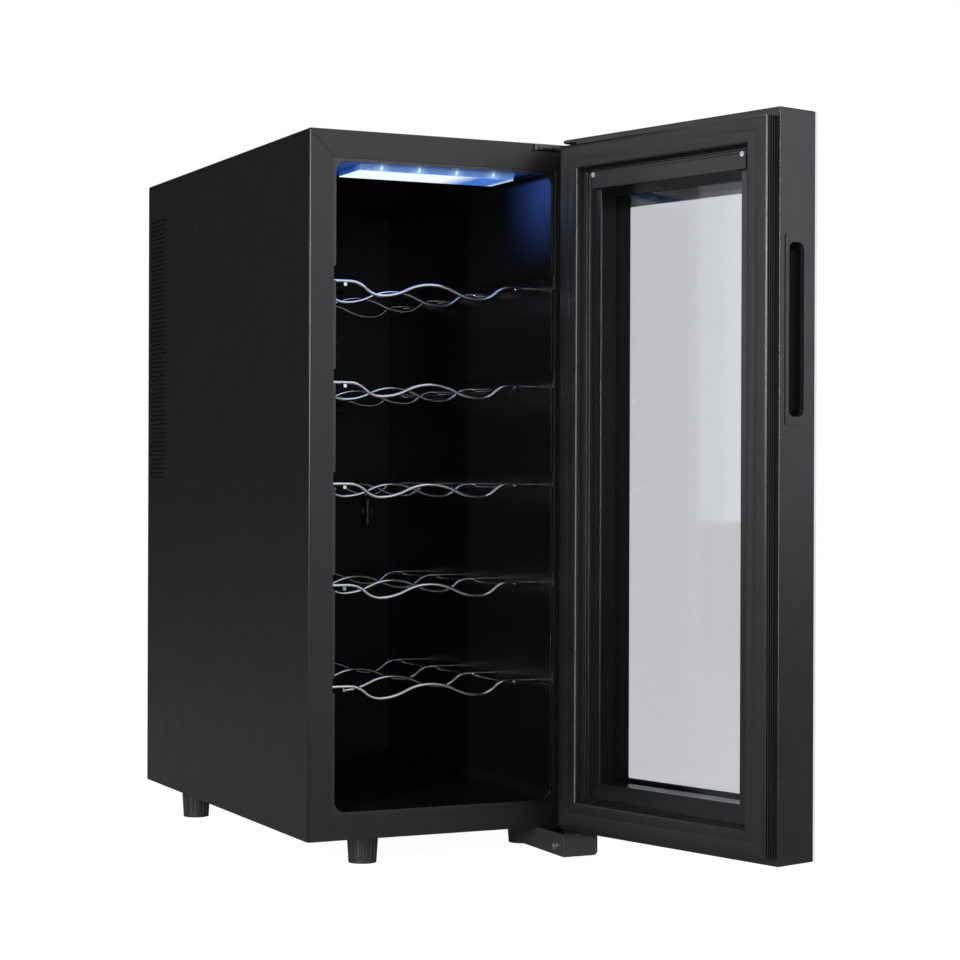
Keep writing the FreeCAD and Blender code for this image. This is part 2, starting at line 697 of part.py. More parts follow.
def hinge_bolts():
    bolts = []
    for x, y in HINGE_BOLTS:
        shank = rod(2.4, V(x, y, BASE - 5), V(x, y, BASE + 8))
        bolts.append(fuse([shank, rod(4.2, V(x, y, BASE - 5), V(x, y, BASE - 2.5))]))
    return Part.makeCompound(bolts)


# ================================================================ door, drawn closed
def door_ring(outer, inner, t0, t1):
    """A rectangular ring inside the door's outline, between two insets and two depths from the inner face."""

    def slab(inset, y0, y1):
        return box(-HALF + inset, HALF - inset, y0, y1, DOOR_BOTTOM + inset, DOOR_TOP - inset)

    y0, y1 = DOOR_INNER - t1, DOOR_INNER - t0
    return slab(outer, y0, y1).cut(slab(inner, y0 - 1, y1 + 1))


def depth(t):
    """Y of a point inside the closed door, t behind its inner face."""
    return DOOR_INNER - t


def swing(shape):
    turned = shape.copy()
    turned.rotate(PIVOT, V(0, 0, 1), REST_ANGLE)
    return turned


PANE_BACK = DOOR_THICK - GLASS  # depth at which the outer pane begins
BLOCK = (12.5, 12.0, 29.5)  # width, and depth range, of the solid corner blocks that hold the bushes
BUSH_LENGTH = 15.0


def door_frame():
    rings = [
        door_ring(0, DOOR_WALL, 0, PANE_BACK - 0.2),
        door_ring(0, BACK_BAND, 0, DOOR_WALL),
        door_ring(BACK_BAND - 2.3, BACK_BAND, 0, 15.0),
    ]
    width, t0, t1 = BLOCK
    for z0, z1 in ((DOOR_BOTTOM, DOOR_BOTTOM + BUSH_LENGTH + 2), (SLOT[0] - BUSH_LENGTH - 2, SLOT[0] + 0.1)):
        rings.append(box(HALF - width, HALF, depth(t1), depth(t0), z0, z1))
    frame = fuse(rings)
    corners = edges_along(frame, V(0, 0, 1), lambda p: abs(abs(p.x) - HALF) < 0.01)
    corners += edges_along(frame, V(1, 0, 0), lambda p: p.z < DOOR_BOTTOM + 0.01 or p.z > DOOR_TOP - 0.01)
    corners += edges_along(frame, V(0, 1, 0), lambda p: abs(abs(p.x) - HALF) < 0.01)
    frame = frame.makeFillet(DOOR_EDGE, [e for e in corners if e.BoundBox.YMax > DOOR_INNER - 0.01])
    x, y = PIVOT.x, PIVOT.y
    slot = box(HALF - 17, HALF + 1, depth(31), depth(-1), *SLOT)
    tools = [
        slot,
        rod(BUSH_R + 0.02, V(x, y, DOOR_BOTTOM - 1), V(x, y, DOOR_BOTTOM + BUSH_LENGTH)),
        rod(BUSH_R + 0.02, V(x, y, SLOT[0] - BUSH_LENGTH), V(x, y, SLOT[1])),
    ]
    wide, high, middle, z = HANDLE[0] - 3, HANDLE[1] - 10, HANDLE[2], HANDLE[3]
    tools.append(
        box(
            -HALF - 1,
            -HALF + DOOR_WALL + 1,
            depth(middle + wide / 2),
            depth(middle - wide / 2),
            z - high / 2,
            z + high / 2,
        )
    )
    return cut(frame, tools)


def door_gasket():
    base = door_ring(GASKET[0], GASKET[1], -1.6, 0)
    bulb = door_ring(GASKET[0] + 2.2, GASKET[1] - 2.2, -GASKET_PROUD, -1.5)
    return fuse([base, bulb])


def door_inner_frame():
    """The retainer: a raised rim, a sunk face, a clip leg and the deep reveal down to the inner pane."""
    outer, inner = INNER_FRAME
    rim = door_ring(outer, outer + RETAINER_RIM, 0, RETAINER_SUNK + RETAINER_WALL)
    face = door_ring(outer, inner, RETAINER_SUNK, RETAINER_SUNK + RETAINER_WALL)
    reveal = door_ring(inner - 2.2, inner, RETAINER_SUNK, PANE_DEPTH - 0.2)
    leg = door_ring(outer, outer + 2.0, RETAINER_SUNK, 12.0)
    return fuse([rim, face, reveal, leg])


def door_pane(inset, t0, t1):
    return box(-HALF + inset, HALF - inset, depth(t1), depth(t0), DOOR_BOTTOM + inset, DOOR_TOP - inset)


CONTROL_X = 92.0  # half length of the control box cover
CONTROL_TOP, CONTROL_LOW = DOOR_TOP - 31.5, DOOR_TOP - 46.6
CONTROL_PROUD = 0.9
CONTROL_FLOOR = DOOR_TOP - 52.0  # underside of the control box where it meets the inner pane
CONTROL_SCREW_LENGTH = CONTROL_PROUD + RETAINER_SUNK - 0.1
CONTROL_SCREWS = [V(s * (CONTROL_X - 3.5), depth(-CONTROL_PROUD), DOOR_TOP - 34.5) for s in (-1, 1)]


def control_cover():
    """The strip over the control box, screwed on above the window, and the box's sloping underside."""
    strip = box(-CONTROL_X, CONTROL_X, depth(RETAINER_SUNK), depth(-CONTROL_PROUD), CONTROL_LOW, CONTROL_TOP)
    half, thick, reach = HALF - INNER_FRAME[1] - 0.3, 1.4, PANE_DEPTH - 0.3
    slope = [
        (depth(-CONTROL_PROUD), CONTROL_LOW),
        (depth(reach), CONTROL_FLOOR),
        (depth(reach), CONTROL_FLOOR + thick),
        (depth(0), CONTROL_LOW + thick - 0.4),
        (depth(-CONTROL_PROUD), CONTROL_LOW + thick),
    ]
    tools = [rod(1.1, p + V(0, 2, 0), p + V(0, -8, 0)) for p in CONTROL_SCREWS]
    return cut(fuse([strip, prism_x(slope, -half, half)]), tools)


def control_board():
    """The touch board, held against the back of the outer pane above the window."""
    z0, z1 = DOOR_TOP - SPACER[0] + 1.0, DOOR_TOP - 12.0
    t = PANE_BACK
    pieces = [box(-80, 80, depth(t - 1.0), depth(t - 2.6), z0, z1)]
    pieces.append(box(-16, 16, depth(t), depth(t - 1.1), z0 + 4, z1 - 4))
    z = (z0 + z1) / 2
    pieces += [rod(5.0, V(x, depth(t), z), V(x, depth(t - 1.1), z)) for x in (-60, -38, 38, 60)]
    return fuse(pieces)


def handle_insert():
    """A moulded finger cup let into the free edge, with a thin flange around it."""
    wide, high, middle, z = HANDLE
    pocket_wide, pocket_high, pocket_deep = POCKET
    x = -HALF
    wall = 1.4
    flange = box(x - 0.8, x, depth(middle + wide / 2), depth(middle - wide / 2), z - high / 2, z + high / 2)
    flange = flange.makeFillet(3.0, edges_along(flange, V(1, 0, 0)))

    def cup(grow, x0, x1):
        shape = box(
            x0,
            x1,
            depth(middle + pocket_wide / 2 + grow),
            depth(middle - pocket_wide / 2 - grow),
            z - pocket_high / 2 - grow,
            z + pocket_high / 2 + grow,
        )
        return shape.makeFillet(6.0 + grow, edges_along(shape, V(1, 0, 0)))

    body = fuse([flange, cup(wall, x - 0.4, x + pocket_deep + wall)])
    return body.cut(cup(0.0, x - 2, x + pocket_deep))


def hinge_bush(z0, z1):
    return tube(BUSH_R, PIN_R + RUNNING, V(PIVOT.x, PIVOT.y, z0), V(PIVOT.x, PIVOT.y, z1))


# ================================================================ all the pieces
def build():
    parts["outer_wrap"] = outer_wrap()
    parts["bottom_pan"] = bottom_pan()
    parts["inner_liner"] = inner_liner()
    parts["insulation_foam"] = insulation_foam()
    parts["bulkhead_plate"] = bulkhead_plate()
    parts["rear_cover"] = rear_cover()
    inwards = V(0, -1, 0)
    parts["rear_cover_screws"] = Part.makeCompound(
        [pan_head_screw(1.8, 3.6, 1.8, 8.0, V(x, BACK, z), inwards) for x, z in REAR_SCREWS]
    )
    parts["cord_gland"] = cord_gland()

    parts["cold_heat_sink"] = cold_heat_sink()
    parts["thermal_block"] = block_window(20.0, COLD_BASE[1], BLOCK_BACK)
    parts["peltier_module"] = block_window(20.0, BLOCK_BACK, MODULE_BACK)
    parts["hot_heat_sink"] = hot_heat_sink()
    parts["cold_fan_frame"] = fan_frame(COLD_FAN)
    parts["cold_fan_rotor"] = fan_rotor(COLD_FAN)
    parts["cold_fan_cover"] = cold_fan_cover()
    parts["hot_fan_frame"] = fan_frame(HOT_FAN)
    parts["hot_fan_rotor"] = fan_rotor(HOT_FAN)
    parts["temperature_sensor"] = temperature_sensor()
    parts["power_board"] = power_board()

    parts["lamp_lens"] = lamp_lens()
    parts["led_board"] = led_board()

    for i, z in enumerate(shelf_heights()):
        parts[f"wire_shelf_{i + 1}"] = wire_shelf(z)
    for name, (x, y) in foot_places().items():
        parts["foot_" + name] = foot(x, y)
        parts["foot_stud_" + name] = foot_stud(x, y)
    parts["foot_nuts"] = foot_nuts()

    parts["top_hinge_bracket"] = top_hinge_bracket()
    parts["top_hinge_screws"] = Part.makeCompound(
        [
            pan_head_screw(1.1, 2.4, 1.3, BRACKET - 0.1, V(x, FRONT - BRACKET, ARM[0] + 2.9), V(0, 1, 0))
            for x in TOP_SCREWS
        ]
    )
    low_top_pin = SLOT[0] - BUSH_LENGTH + 0.5
    parts["top_hinge_pin"] = rod(PIN_R, V(PIVOT.x, PIVOT.y, low_top_pin), V(PIVOT.x, PIVOT.y, ARM[1]))
    parts["bottom_hinge_bracket"] = bottom_hinge_bracket()
    high_bottom_pin = DOOR_BOTTOM + BUSH_LENGTH - 0.5
    low_end, high_end = (V(PIVOT.x, PIVOT.y, z) for z in (BASE - 2.5, high_bottom_pin))
    parts["bottom_hinge_pin"] = rod(PIN_R, low_end, high_end)
    parts["bottom_hinge_cover"] = bottom_hinge_cover()
    parts["bottom_hinge_bolts"] = hinge_bolts()
    parts["hinge_cover_screw"] = pan_head_screw(1.4, 3.6, 1.6, 4.0, COVER_SCREW, V(1, 0, 0))

    door = {
        "door_frame": door_frame(),
        "door_gasket": door_gasket(),
        "door_inner_frame": door_inner_frame(),
        "door_glass_outer": door_pane(0.4, PANE_BACK, DOOR_THICK),
        "door_glass_inner": door_pane(36.0, PANE_DEPTH, PANE_DEPTH + GLASS),
        "glass_spacer": door_ring(SPACER[0], SPACER[1], PANE_DEPTH + GLASS, PANE_BACK),
        "control_cover": control_cover(),
        "control_cover_screws": Part.makeCompound(
            [pan_head_screw(1.0, 2.2, 1.0, CONTROL_SCREW_LENGTH, p, V(0, -1, 0)) for p in CONTROL_SCREWS]
        ),
        "control_board": control_board(),
        "handle_insert": handle_insert(),
        "hinge_bush_bottom": hinge_bush(BASE + 0.2, DOOR_BOTTOM + BUSH_LENGTH),
        "hinge_bush_top": hinge_bush(SLOT[0] - BUSH_LENGTH, SLOT[0]),
    }
    for name, shape in door.items():
        parts[name] = swing(shape)


build()
os.makedirs("parts", exist_ok=True)
for name, shape in parts.items():
    if not shape.isValid():
        print("not valid:", name)
    shape.exportStep(f"parts/{name}.step")
print(len(parts), "nodes")
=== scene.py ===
import json
import math

import bmesh
import bpy
from mathutils import Matrix, Vector


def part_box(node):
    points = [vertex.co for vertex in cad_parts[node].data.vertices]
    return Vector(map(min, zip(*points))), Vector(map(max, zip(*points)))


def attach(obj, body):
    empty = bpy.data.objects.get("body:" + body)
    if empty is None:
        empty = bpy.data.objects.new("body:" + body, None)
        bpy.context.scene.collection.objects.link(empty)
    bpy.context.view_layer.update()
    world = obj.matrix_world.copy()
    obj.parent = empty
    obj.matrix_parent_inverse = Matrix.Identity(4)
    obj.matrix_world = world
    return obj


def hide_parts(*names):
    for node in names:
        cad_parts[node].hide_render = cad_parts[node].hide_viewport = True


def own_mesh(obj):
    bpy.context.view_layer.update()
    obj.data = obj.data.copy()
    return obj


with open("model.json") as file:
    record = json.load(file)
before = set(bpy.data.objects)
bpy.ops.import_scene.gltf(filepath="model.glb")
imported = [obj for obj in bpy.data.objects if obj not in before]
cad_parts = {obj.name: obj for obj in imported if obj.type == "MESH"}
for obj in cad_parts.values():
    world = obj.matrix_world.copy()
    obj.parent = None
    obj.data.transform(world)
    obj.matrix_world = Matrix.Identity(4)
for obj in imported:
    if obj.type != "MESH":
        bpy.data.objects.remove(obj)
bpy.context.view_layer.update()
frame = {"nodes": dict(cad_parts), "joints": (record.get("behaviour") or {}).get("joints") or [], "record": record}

NODES = frame["nodes"]
SCENE = bpy.context.scene
MM = 0.001

# ---------------------------------------------------------------- frames
HINGE = next(j for j in frame["joints"] if j["name"] == "door_hinge")
PIVOT = Vector(HINGE["pos_m"])
REST_ANGLE = math.radians(-HINGE["range_deg"][0])
# closed-door coordinates to the row frame at rest
OPENED = Matrix.Translation(PIVOT) @ Matrix.Rotation(REST_ANGLE, 4, "Z") @ Matrix.Translation(-PIVOT)
CLOSED = OPENED.inverted()


def closed_box(node):
    """Lowest and highest corner of a door node, with the door turned shut."""
    points = [CLOSED @ v.co for v in NODES[node].data.vertices]
    low = Vector(min(p[i] for p in points) for i in range(3))
    high = Vector(max(p[i] for p in points) for i in range(3))
    return low, high


# ---------------------------------------------------------------- node materials
class Graph:
    """A material and short ways to add nodes to it."""

    def __init__(self, name):
        self.material = bpy.data.materials.new(name)
        self.material.use_nodes = True
        self.tree = self.material.node_tree
        self.tree.nodes.clear()
        self.output = self.tree.nodes.new("ShaderNodeOutputMaterial")
        self.position = self.add("ShaderNodeTexCoord").outputs["Object"]

    def add(self, kind, settings=None, **inputs):
        node = self.tree.nodes.new(kind)
        for key, value in (settings or {}).items():
            setattr(node, key, value)
        for key, value in inputs.items():
            self.put(node, key.replace("_", " "), value)
        return node

    def put(self, node, name, value):
        by_number = name[0] == "i" and name[1:].isdigit()  # i0, i1 and so on stand for a socket's number
        socket = node.inputs[int(name[1:]) if by_number else name]
        if isinstance(value, bpy.types.NodeSocket):
            self.tree.links.new(value, socket)
        else:
            socket.default_value = value

    def noise(self, scale, detail=2.0, roughness=0.5, vector=None):
        node = self.add("ShaderNodeTexNoise", Scale=scale, Detail=detail, Roughness=roughness)
        self.put(node, "Vector", vector or self.position)
        return node.outputs["Fac"]

    def math(self, operation, a, b=0.0, c=0.0, clamp=False):
        node = self.add("ShaderNodeMath", {"operation": operation, "use_clamp": clamp}, i0=a, i1=b, i2=c)
        return node.outputs[0]

    def product(self, first, *factors):
        for factor in factors:
            first = self.math("MULTIPLY", first, factor)
        return first

    def remap(self, value, a, b, c, d):
        node = self.add("ShaderNodeMapRange", Value=value)
        for name, number in (("From Min", a), ("From Max", b), ("To Min", c), ("To Max", d)):
            node.inputs[name].default_value = number
        return node.outputs[0]

    def mix(self, factor, a, b):
        node = self.add("ShaderNodeMix", {"data_type": "RGBA"})
        for index, value in ((0, factor), (6, a), (7, b)):
            if isinstance(value, bpy.types.NodeSocket):
                self.tree.links.new(value, node.inputs[index])
            else:
                node.inputs[index].default_value = value if index == 0 else (*value, 1.0)
        return node.outputs[2]

    def split(self, vector=None):
        return self.add("ShaderNodeSeparateXYZ", Vector=vector or self.position).outputs

    def bump(self, height, distance):
        return self.add("ShaderNodeBump", Height=height, Distance=distance, Strength=1.0).outputs[0]

    def finish(self, shader):
        self.tree.links.new(shader.outputs[0], self.output.inputs[0])
        return self.material


def surface(
    name,
    dark,
    light,
    roughness,
    metallic=0.0,
    grain=1400.0,
    grain_depth=0.02,
    spread=0.05,
    specular=0.5,
    brushed=None,
    coat=None,
    glow=None,
):
    """A moulded, painted or metal surface: two close tones in clouds, a fine grain and uneven gloss."""
    g = Graph(name)
    cloud = g.noise(14.0, 5.0, 0.6)
    fine = g.noise(grain, 3.0, 0.6)
    blend = g.math("ADD", g.math("MULTIPLY", cloud, 0.75), g.math("MULTIPLY", fine, 0.25))
    colour = g.mix(g.remap(blend, 0.35, 0.65, 0.0, 1.0), dark, light)
    smear = g.noise(45.0, 4.0, 0.65)
    uneven = g.math("ADD", g.math("MULTIPLY", smear, 0.7), g.math("MULTIPLY", fine, 0.3))
    rough = g.remap(uneven, 0.3, 0.7, roughness - spread, roughness + spread)
    height = fine
    if brushed is not None:
        stretch = g.add("ShaderNodeMapping", Vector=g.position)
        stretch.inputs["Scale"].default_value = brushed
        lines = g.noise(1.0, 4.0, 0.7, stretch.outputs[0])
        rough = g.math("ADD", rough, g.remap(lines, 0.3, 0.7, -0.08, 0.08))
        height = lines
    shader = g.add("ShaderNodeBsdfPrincipled", Base_Color=colour, Roughness=rough, Metallic=metallic)
    shader.inputs["Specular IOR Level"].default_value = specular
    g.put(shader, "Normal", g.bump(height, grain_depth * MM))
    if coat is not None:
        g.put(shader, "Coat Weight", coat(g))
        shader.inputs["Coat Roughness"].default_value = roughness
    # painted light: an emission that stands in for light falling on the surface
    if glow is not None:
        colour, strength = glow(g)
        shader.inputs["Emission Color"].default_value = (*colour, 1.0)
        g.put(shader, "Emission Strength", strength)
    return g.finish(shader)


def tones(value, tint=(1.0, 1.0, 1.0), spread=0.12):
    """A darker and a lighter shade of one albedo."""
    dark = tuple(value * t * (1 - spread) for t in tint)
    light = tuple(value * t * (1 + spread) for t in tint)
    return dark, light


FRONT_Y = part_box("inner_liner")[0].y
# painted lamp light: colour, strength and ceiling share of the blue light painted as emission on the liner
PAINTED_LAMP_LIGHT_BLUE = (0.09, 0.24, 1.0)
PAINTED_LAMP_LIGHT_STRENGTH = 0.17
PAINTED_LAMP_LIGHT_ON_CEILING = 0.85  # share of the wall's strength


def liner_lip(g):
    """One on the liner's front lip, zero inside the cavity."""
    return g.remap(g.split()[1], FRONT_Y + 1.2 * MM, FRONT_Y + 2.4 * MM, 1.0, 0.0)


def painted_lamp_light(g):
    """Painted lamp light: the lamp's blue light on the upper front of the liner's side walls and on its ceiling,
    painted as emission.
    """
    low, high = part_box("lamp_lens")
    x, y, z = g.split()
    side = g.remap(g.math("ABSOLUTE", x), 100.0 * MM, 103.0 * MM, 0.0, 1.0)
    near = g.math("POWER", g.remap(y, FRONT_Y + 24 * MM, FRONT_Y + 105 * MM, 1.0, 0.0), 1.7)
    upper = g.math("POWER", g.remap(z, low.z - 80 * MM, low.z - 15 * MM, 0.0, 1.0), 1.6)
    wall = g.product(side, near, upper)
    above = g.remap(z, low.z + 2.0 * MM, low.z + 5.0 * MM, 0.0, 1.0)
    beside = g.remap(x, high.x + 1.0 * MM, high.x + 14.0 * MM, 1.0, 0.0)
    behind = g.math("POWER", g.remap(y, high.y + 2.0 * MM, high.y + 55.0 * MM, 1.0, 0.0), 1.8)
    ceiling = g.product(above, beside, behind, PAINTED_LAMP_LIGHT_ON_CEILING)
    both = g.math("MAXIMUM", wall, ceiling)
    within = g.remap(y, FRONT_Y + 1.2 * MM, FRONT_Y + 4.0 * MM, 0.0, 1.0)
    uneven = g.remap(g.noise(22.0, 3.0), 0.3, 0.7, 0.85, 1.1)
    return PAINTED_LAMP_LIGHT_BLUE, g.product(both, within, g.math("MULTIPLY", uneven, PAINTED_LAMP_LIGHT_STRENGTH))


def retainer_front(g):
    """One on the retainer's front faces, zero in its deep reveal."""
    inwards = OPENED.to_3x3() @ Vector((0.0, -1.0, 0.0))
    start = (OPENED @ Vector((0.0, DOOR_INNER_Y, 0.0))).dot(inwards)
    dot = g.add("ShaderNodeVectorMath", {"operation": "DOT_PRODUCT"}, i0=g.position, i1=inwards)
    return g.remap(dot.outputs["Value"], start + 4.2 * MM, start + 5.2 * MM, 1.0, 0.0)


DOOR_LOW, DOOR_HIGH = closed_box("door_frame")
DOOR_INNER_Y = DOOR_HIGH.y
DOOR_LEFT, DOOR_RIGHT = DOOR_LOW.x, DOOR_HIGH.x

COOL_GREY = (0.98, 1.0, 1.04)


def finish(name, shades, roughness, **settings):
    MATERIALS[name] = surface(name, *shades, roughness, **settings)


MATERIALS = {}
finish("cabinet_paint", tones(0.0038, COOL_GREY), 0.34, grain=1900.0, grain_depth=0.012)
finish("rear_paint", tones(0.012, COOL_GREY), 0.5, grain=1900.0, grain_depth=0.015)
finish(
    "liner_plastic",
    tones(0.003, COOL_GREY),
    0.3,
    grain=2600.0,
    grain_depth=0.006,
    spread=0.03,
    specular=0.2,
    coat=liner_lip,
    # the lamp's blue light is painted on the liner as emission
    glow=painted_lamp_light,
)
finish("door_plastic", tones(0.006, COOL_GREY), 0.3, grain=2300.0, grain_depth=0.012)
finish(
    "retainer_plastic",
    tones(0.004, COOL_GREY),
    0.24,
    grain=2300.0,
    grain_depth=0.006,
    specular=0.06,
    coat=retainer_front,
)
finish("gasket_rubber", tones(0.006, COOL_GREY), 0.36, grain=3200.0, grain_depth=0.01)
finish("foot_plastic", tones(0.018, COOL_GREY), 0.45, grain=2000.0)
finish("hinge_cover_plastic", tones(0.026, COOL_GREY), 0.4, grain=1500.0, grain_depth=0.03)
finish("fan_plastic", tones(0.015), 0.5, grain=1500.0)
finish("foam", ((0.62, 0.50, 0.26), (0.74, 0.62, 0.36)), 0.85, grain=700.0, grain_depth=0.3)
finish("aluminium", tones(0.75, spread=0.05), 0.34, metallic=1.0, brushed=(40.0, 900.0, 900.0))
finish("bare_steel", tones(0.6, spread=0.06), 0.32, metallic=1.0, brushed=(300.0, 300.0, 2000.0))
finish("blackened_steel", tones(0.012), 0.45, grain=500.0)
finish("polished_steel", tones(0.09, spread=0.06), 0.2, metallic=1.0, grain=500.0, grain_depth=0.001)
finish("chrome_wire", tones(0.5, spread=0.05), 0.16, metallic=1.0, grain=350.0, grain_depth=0.01)
finish("spacer_polymer", tones(0.002, COOL_GREY), 0.45, grain=1500.0, specular=0.08)
finish("module_white", tones(0.75, spread=0.03), 0.5, grain=900.0)
finish("sensor_plastic", tones(0.02, COOL_GREY), 0.4, grain=900.0)
finish("bush_plastic", tones(0.6, spread=0.04), 0.45, grain=900.0)
finish("gland_rubber", tones(0.015), 0.6, grain=1500.0)


def board_material():
    """Green lacquer with fine parallel tracks."""
    g = Graph("board")
    track = g.add("ShaderNodeTexWave", {"wave_type": "BANDS", "bands_direction": "Z"}, Vector=g.position)
    track.inputs["Scale"].default_value = 180.0
    track.inputs["Distortion"].default_value = 6.0
    colour = g.mix(g.remap(track.outputs["Fac"], 0.55, 0.7, 0.0, 1.0), (0.01, 0.07, 0.03), (0.03, 0.16, 0.07))
    rough = g.remap(g.noise(300.0), 0.3, 0.7, 0.3, 0.45)
    shader = g.add("ShaderNodeBsdfPrincipled", Base_Color=colour, Roughness=rough)
    g.put(shader, "Normal", g.bump(track.outputs["Fac"], 0.03 * MM))
    return g.finish(shader)


MATERIALS["board"] = board_material()


def glass_material(name, tint, smudge):
    """Clear sheet glass, with a mirror share that grows at a slant and faint cleaning marks."""
    g = Graph(name)
    marks = g.noise(9.0, 6.0, 0.7)
    slant = g.add("ShaderNodeLayerWeight", Blend=0.5).outputs["Facing"]
    gloss = g.math("MULTIPLY_ADD", g.math("POWER", slant, 5.0), 0.96, 0.04)
    share = g.math("ADD", gloss, g.remap(marks, 0.45, 0.8, 0.0, smudge), clamp=True)
    clear = g.add("ShaderNodeBsdfTransparent", Color=(*tint, 1.0))
    mirror = g.add("ShaderNodeBsdfPrincipled", Metallic=1.0, Base_Color=(0.92, 0.94, 0.95, 1.0))
    g.put(mirror, "Roughness", g.remap(marks, 0.3, 0.7, 0.01, 0.05))
    mixed = g.add("ShaderNodeMixShader", i0=share, i1=clear.outputs[0], i2=mirror.outputs[0])
    return g.finish(mixed)


GLASS_TINT = (0.885, 0.89, 0.9)
for pane in ("outer_glass", "inner_glass"):
    MATERIALS[pane] = glass_material(pane, GLASS_TINT, 0.012)


LED_PITCH = 36.0 * MM


def lens_material():
    """The lamp's cover: clear blue in front, where the diodes show as stars, and frosted white below."""
    g = Graph("lamp_lens")
    low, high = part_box("lamp_lens")
    x, y, z = g.split()
    middle = (low.x + high.x) / 2
    # distance to the nearest diode: there is none in the middle, and ten pitches keep the sum above zero
    cell = g.math("PINGPONG", g.math("ADD", x, 10.5 * LED_PITCH - middle), LED_PITCH / 2)
    height = g.math("SUBTRACT", z, low.z)

    def star(width, tall, centre, power):
        across = g.math("DIVIDE", cell, width * MM)
        along = g.math("DIVIDE", g.math("SUBTRACT", height, centre * MM), tall * MM)
        squares = (g.math("MULTIPLY", across, across), g.math("MULTIPLY", along, along))
        far = g.math("SQRT", g.math("ADD", *squares))
        return g.math("POWER", g.remap(far, 0.0, 1.0, 1.0, 0.0), power)

    frost = g.noise(500.0, 3.0)
    ragged = g.math("ADD", height, g.remap(frost, 0.3, 0.7, -0.2 * MM, 0.2 * MM))
    under = g.remap(ragged, 0.3 * MM, 0.9 * MM, 1.0, 0.0)
    halo = g.math("MULTIPLY", star(11.0, 7.0, 1.5, 1.6), 0.4)
    spark = g.math("ADD", star(2.4, 3.6, 3.4, 1.6), halo, clamp=True)
    # the strip is evenly white at the left and turns blue towards the right, with a bright end
    fade = g.remap(x, 16.0 * MM, 40.0 * MM, 1.0, 0.0)
    tip = g.remap(x, high.x - 7.0 * MM, high.x - 1.0 * MM, 0.0, 0.7)
    white = g.math("MAXIMUM", fade, tip, clamp=True)
    strip = g.mix(white, (0.045, 0.16, 0.58), (0.88, 0.99, 1.0))
    # the clear front is darkest along its top
    rise = g.remap(height, 0.6 * MM, 5.8 * MM, 0.0, 1.0)
    front = g.mix(spark, g.mix(rise, (0.012, 0.09, 0.42), (0.002, 0.02, 0.11)), (0.62, 0.86, 1.0))
    colour = g.mix(under, front, strip)
    glow = g.remap(frost, 0.3, 0.7, 0.95, 1.05)
    shader = g.add("ShaderNodeBsdfPrincipled", Base_Color=g.mix(frost, (0.1, 0.16, 0.25), (0.13, 0.2, 0.3)))
    shader.inputs["Roughness"].default_value = 0.25
    g.put(shader, "Emission Color", colour)
    g.put(shader, "Emission Strength", glow)
    return g.finish(shader)


MATERIALS["lamp_lens"] = lens_material()


def border_material():
    """Black enamel fired onto the glass, with tiny pinholes of gloss."""
    g = Graph("glass_enamel")
    speck = g.noise(1800.0, 2.0)
    colour = g.mix(g.remap(speck, 0.3, 0.7, 0.0, 1.0), (0.0035, 0.0035, 0.004), (0.006, 0.006, 0.007))
    rough = g.remap(g.noise(30.0, 4.0), 0.3, 0.7, 0.12, 0.22)
    shader = g.add("ShaderNodeBsdfPrincipled", Base_Color=colour, Roughness=rough)
    return g.finish(shader)


ENAMEL = border_material()


def display_material():
    """Lit touch symbols, a little uneven as if behind film."""
    g = Graph("display_light")
    grain = g.noise(900.0, 2.0)
    shader = g.add("ShaderNodeBsdfPrincipled", Base_Color=(0.1, 0.2, 0.3, 1.0), Roughness=0.3)
    g.put(shader, "Emission Color", g.mix(grain, (0.25, 0.6, 1.0), (0.35, 0.72, 1.0)))
    shader.inputs["Emission Strength"].default_value = 1.6
    return g.finish(shader)


# ---------------------------------------------------------------- the CAD nodes' finishes
FINISH_OF = {s["node"]: s["material_slot"] for s in frame["record"]["subparts"]}
FINISH_OF["bottom_hinge_bracket"] = "blackened_steel"
FINISH_OF["hinge_cover_screw"] = FINISH_OF["control_cover_screws"] = "bare_steel"
for name, obj in NODES.items():
    obj.data.materials.clear()
    obj.data.materials.append(MATERIALS[FINISH_OF[name]])


WELD_REACH = 0.02 * MM
BEVEL_FROM = math.radians(40.0)  # only edges that bend more than this are rounded


def soften(node, width):
    """Rounds a CAD node's sharp edges a little, as a mould or a press brake leaves them."""
    obj = NODES[node]
    weld = obj.modifiers.new("weld", "WELD")
    weld.merge_threshold = WELD_REACH
    bevel = obj.modifiers.new("edges", "BEVEL")
    bevel.width = width * MM
    bevel.segments = 2
    bevel.limit_method = "ANGLE"
    bevel.angle_limit = BEVEL_FROM
    bevel.harden_normals = True
    bevel.use_clamp_overlap = True


for node, width in (
    ("bottom_pan", 0.3),
    ("door_frame", 0.7),
    ("door_inner_frame", 0.35),
    ("handle_insert", 0.4),
    ("control_cover", 0.3),
    ("top_hinge_bracket", 0.35),
    ("bottom_hinge_cover", 0.9),
    ("door_glass_outer", 0.5),
    ("rear_cover", 0.2),
    ("inner_liner", 1.0),
    ("outer_wrap", 0.35),
):
    soften(node, width)


# ---------------------------------------------------------------- mesh pieces
def piece(name, bm, body, material, place=None, smooth=None):
    """Turns a bmesh into a named object on a CAD body."""
    bmesh.ops.recalc_face_normals(bm, faces=bm.faces)
    mesh = bpy.data.meshes.new(name)
    bm.to_mesh(mesh)
    bm.free()
    if place is not None:
        mesh.transform(place)
    if smooth is not None:
        mesh.polygons.foreach_set("use_smooth", [True] * len(mesh.polygons))
        mesh.set_sharp_from_angle(angle=math.radians(smooth))
    obj = bpy.data.objects.new(name, mesh)
    SCENE.collection.objects.link(obj)
    mesh.materials.append(material)
    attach(obj, body)
    return obj


GLASS_LOW, GLASS_HIGH = closed_box("door_glass_outer")


SEAL_TOP = 6.8  # least inset along the top, which clears the upper hinge's bracket when the door is shut


